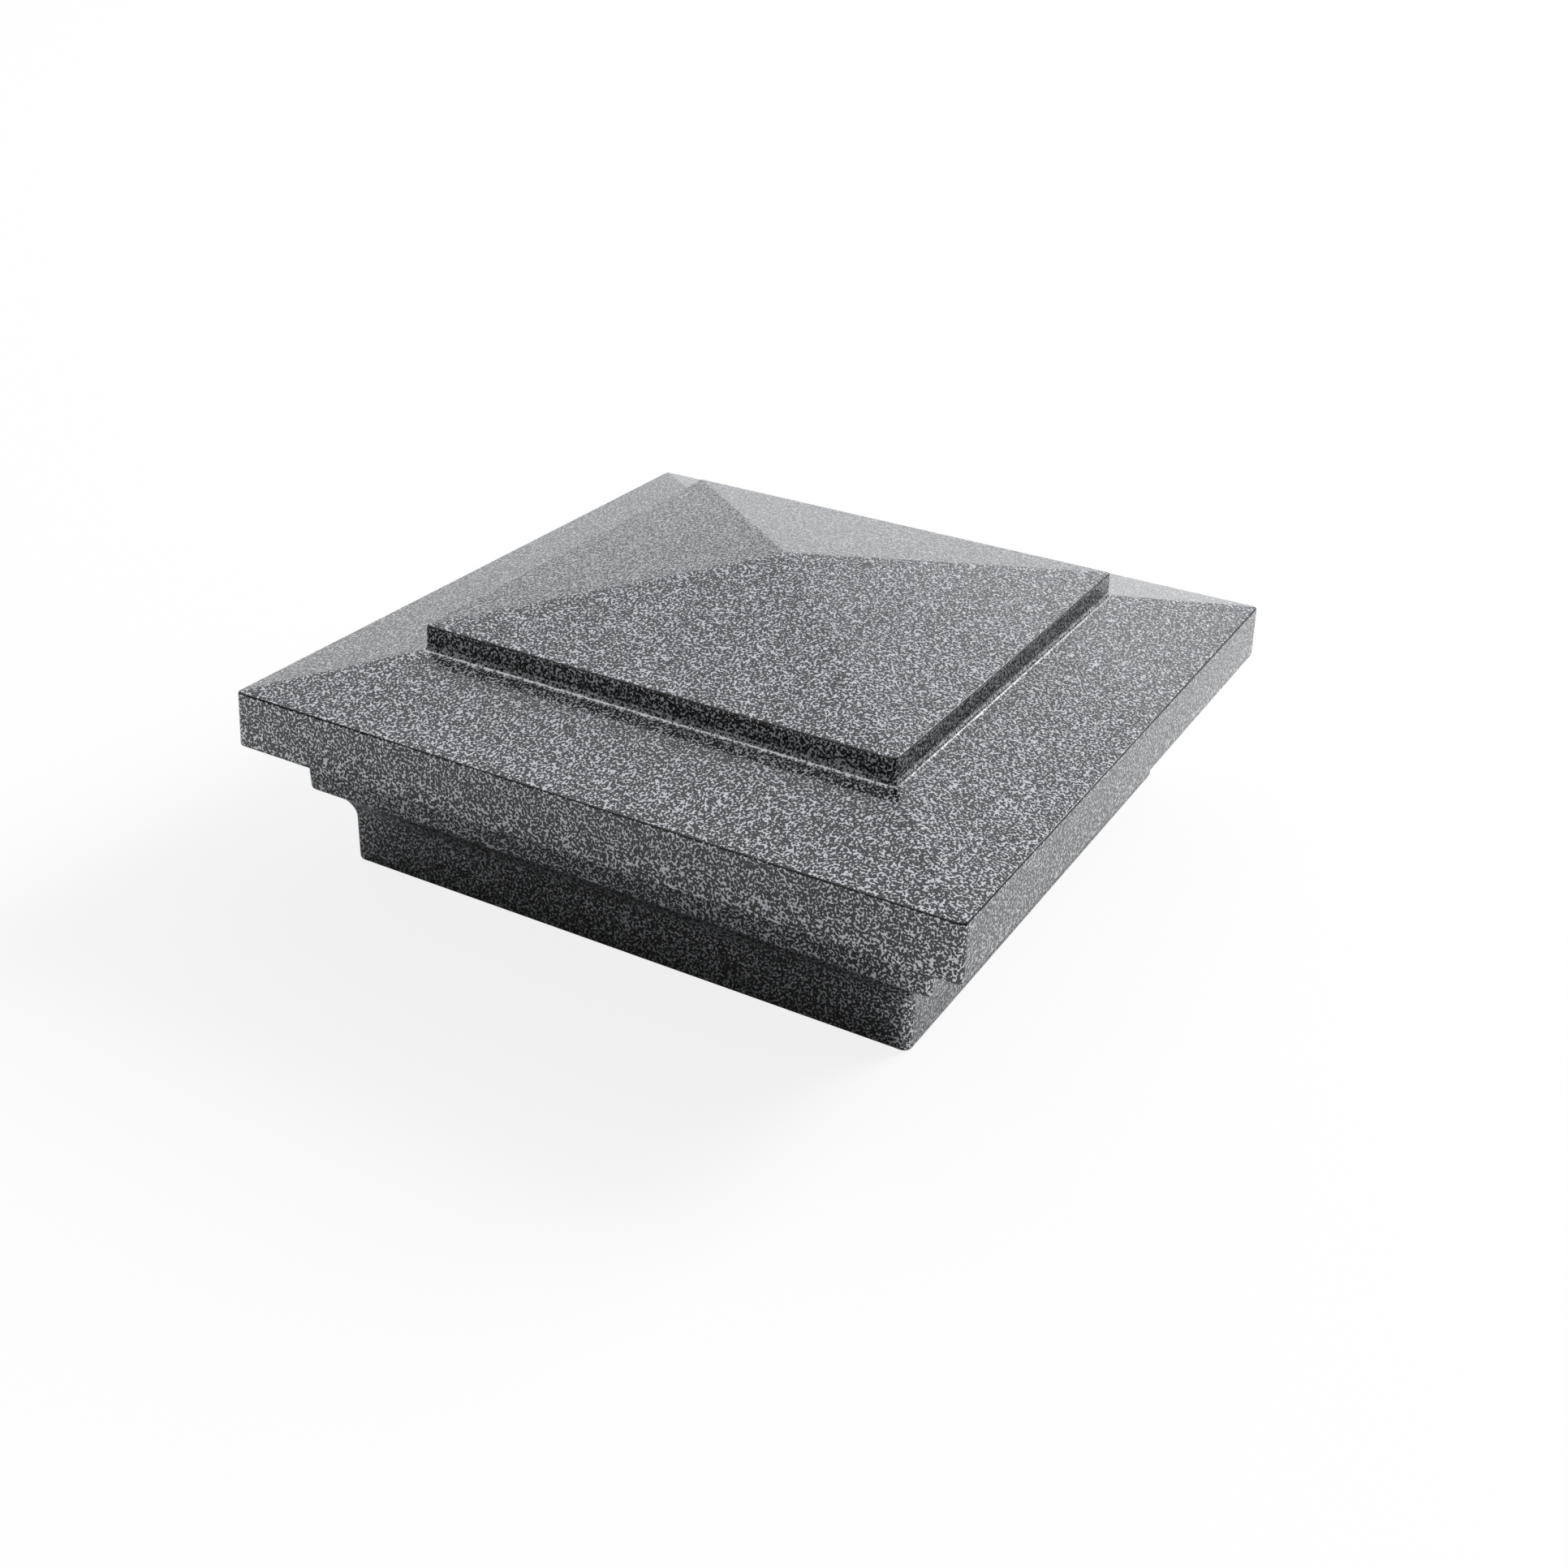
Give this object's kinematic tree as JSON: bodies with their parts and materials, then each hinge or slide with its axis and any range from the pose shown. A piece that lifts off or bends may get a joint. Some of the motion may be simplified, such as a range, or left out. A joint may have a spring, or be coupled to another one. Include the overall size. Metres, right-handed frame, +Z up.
{
  "type": "square post cap",
  "caption": "Square stepped cap that slides over the top of a fence or rail post, with a wide sloped brim, a low pyramid roof on a plinth and a hollow underside.",
  "frame": {"origin": "centre of the skirt's lower rim, in the plane of the rim", "axes": "+Z up to the apex of the roof, +X and +Y square to the flat sides"},
  "size_m": [0.1334, 0.1334, 0.052],
  "materials": {
    "coated_shell": "glossy dark grey with a fine raised network of silver veins"
  },
  "bodies": {
    "root": {"post_cap": "coated_shell"}
  },
  "joints": []
}
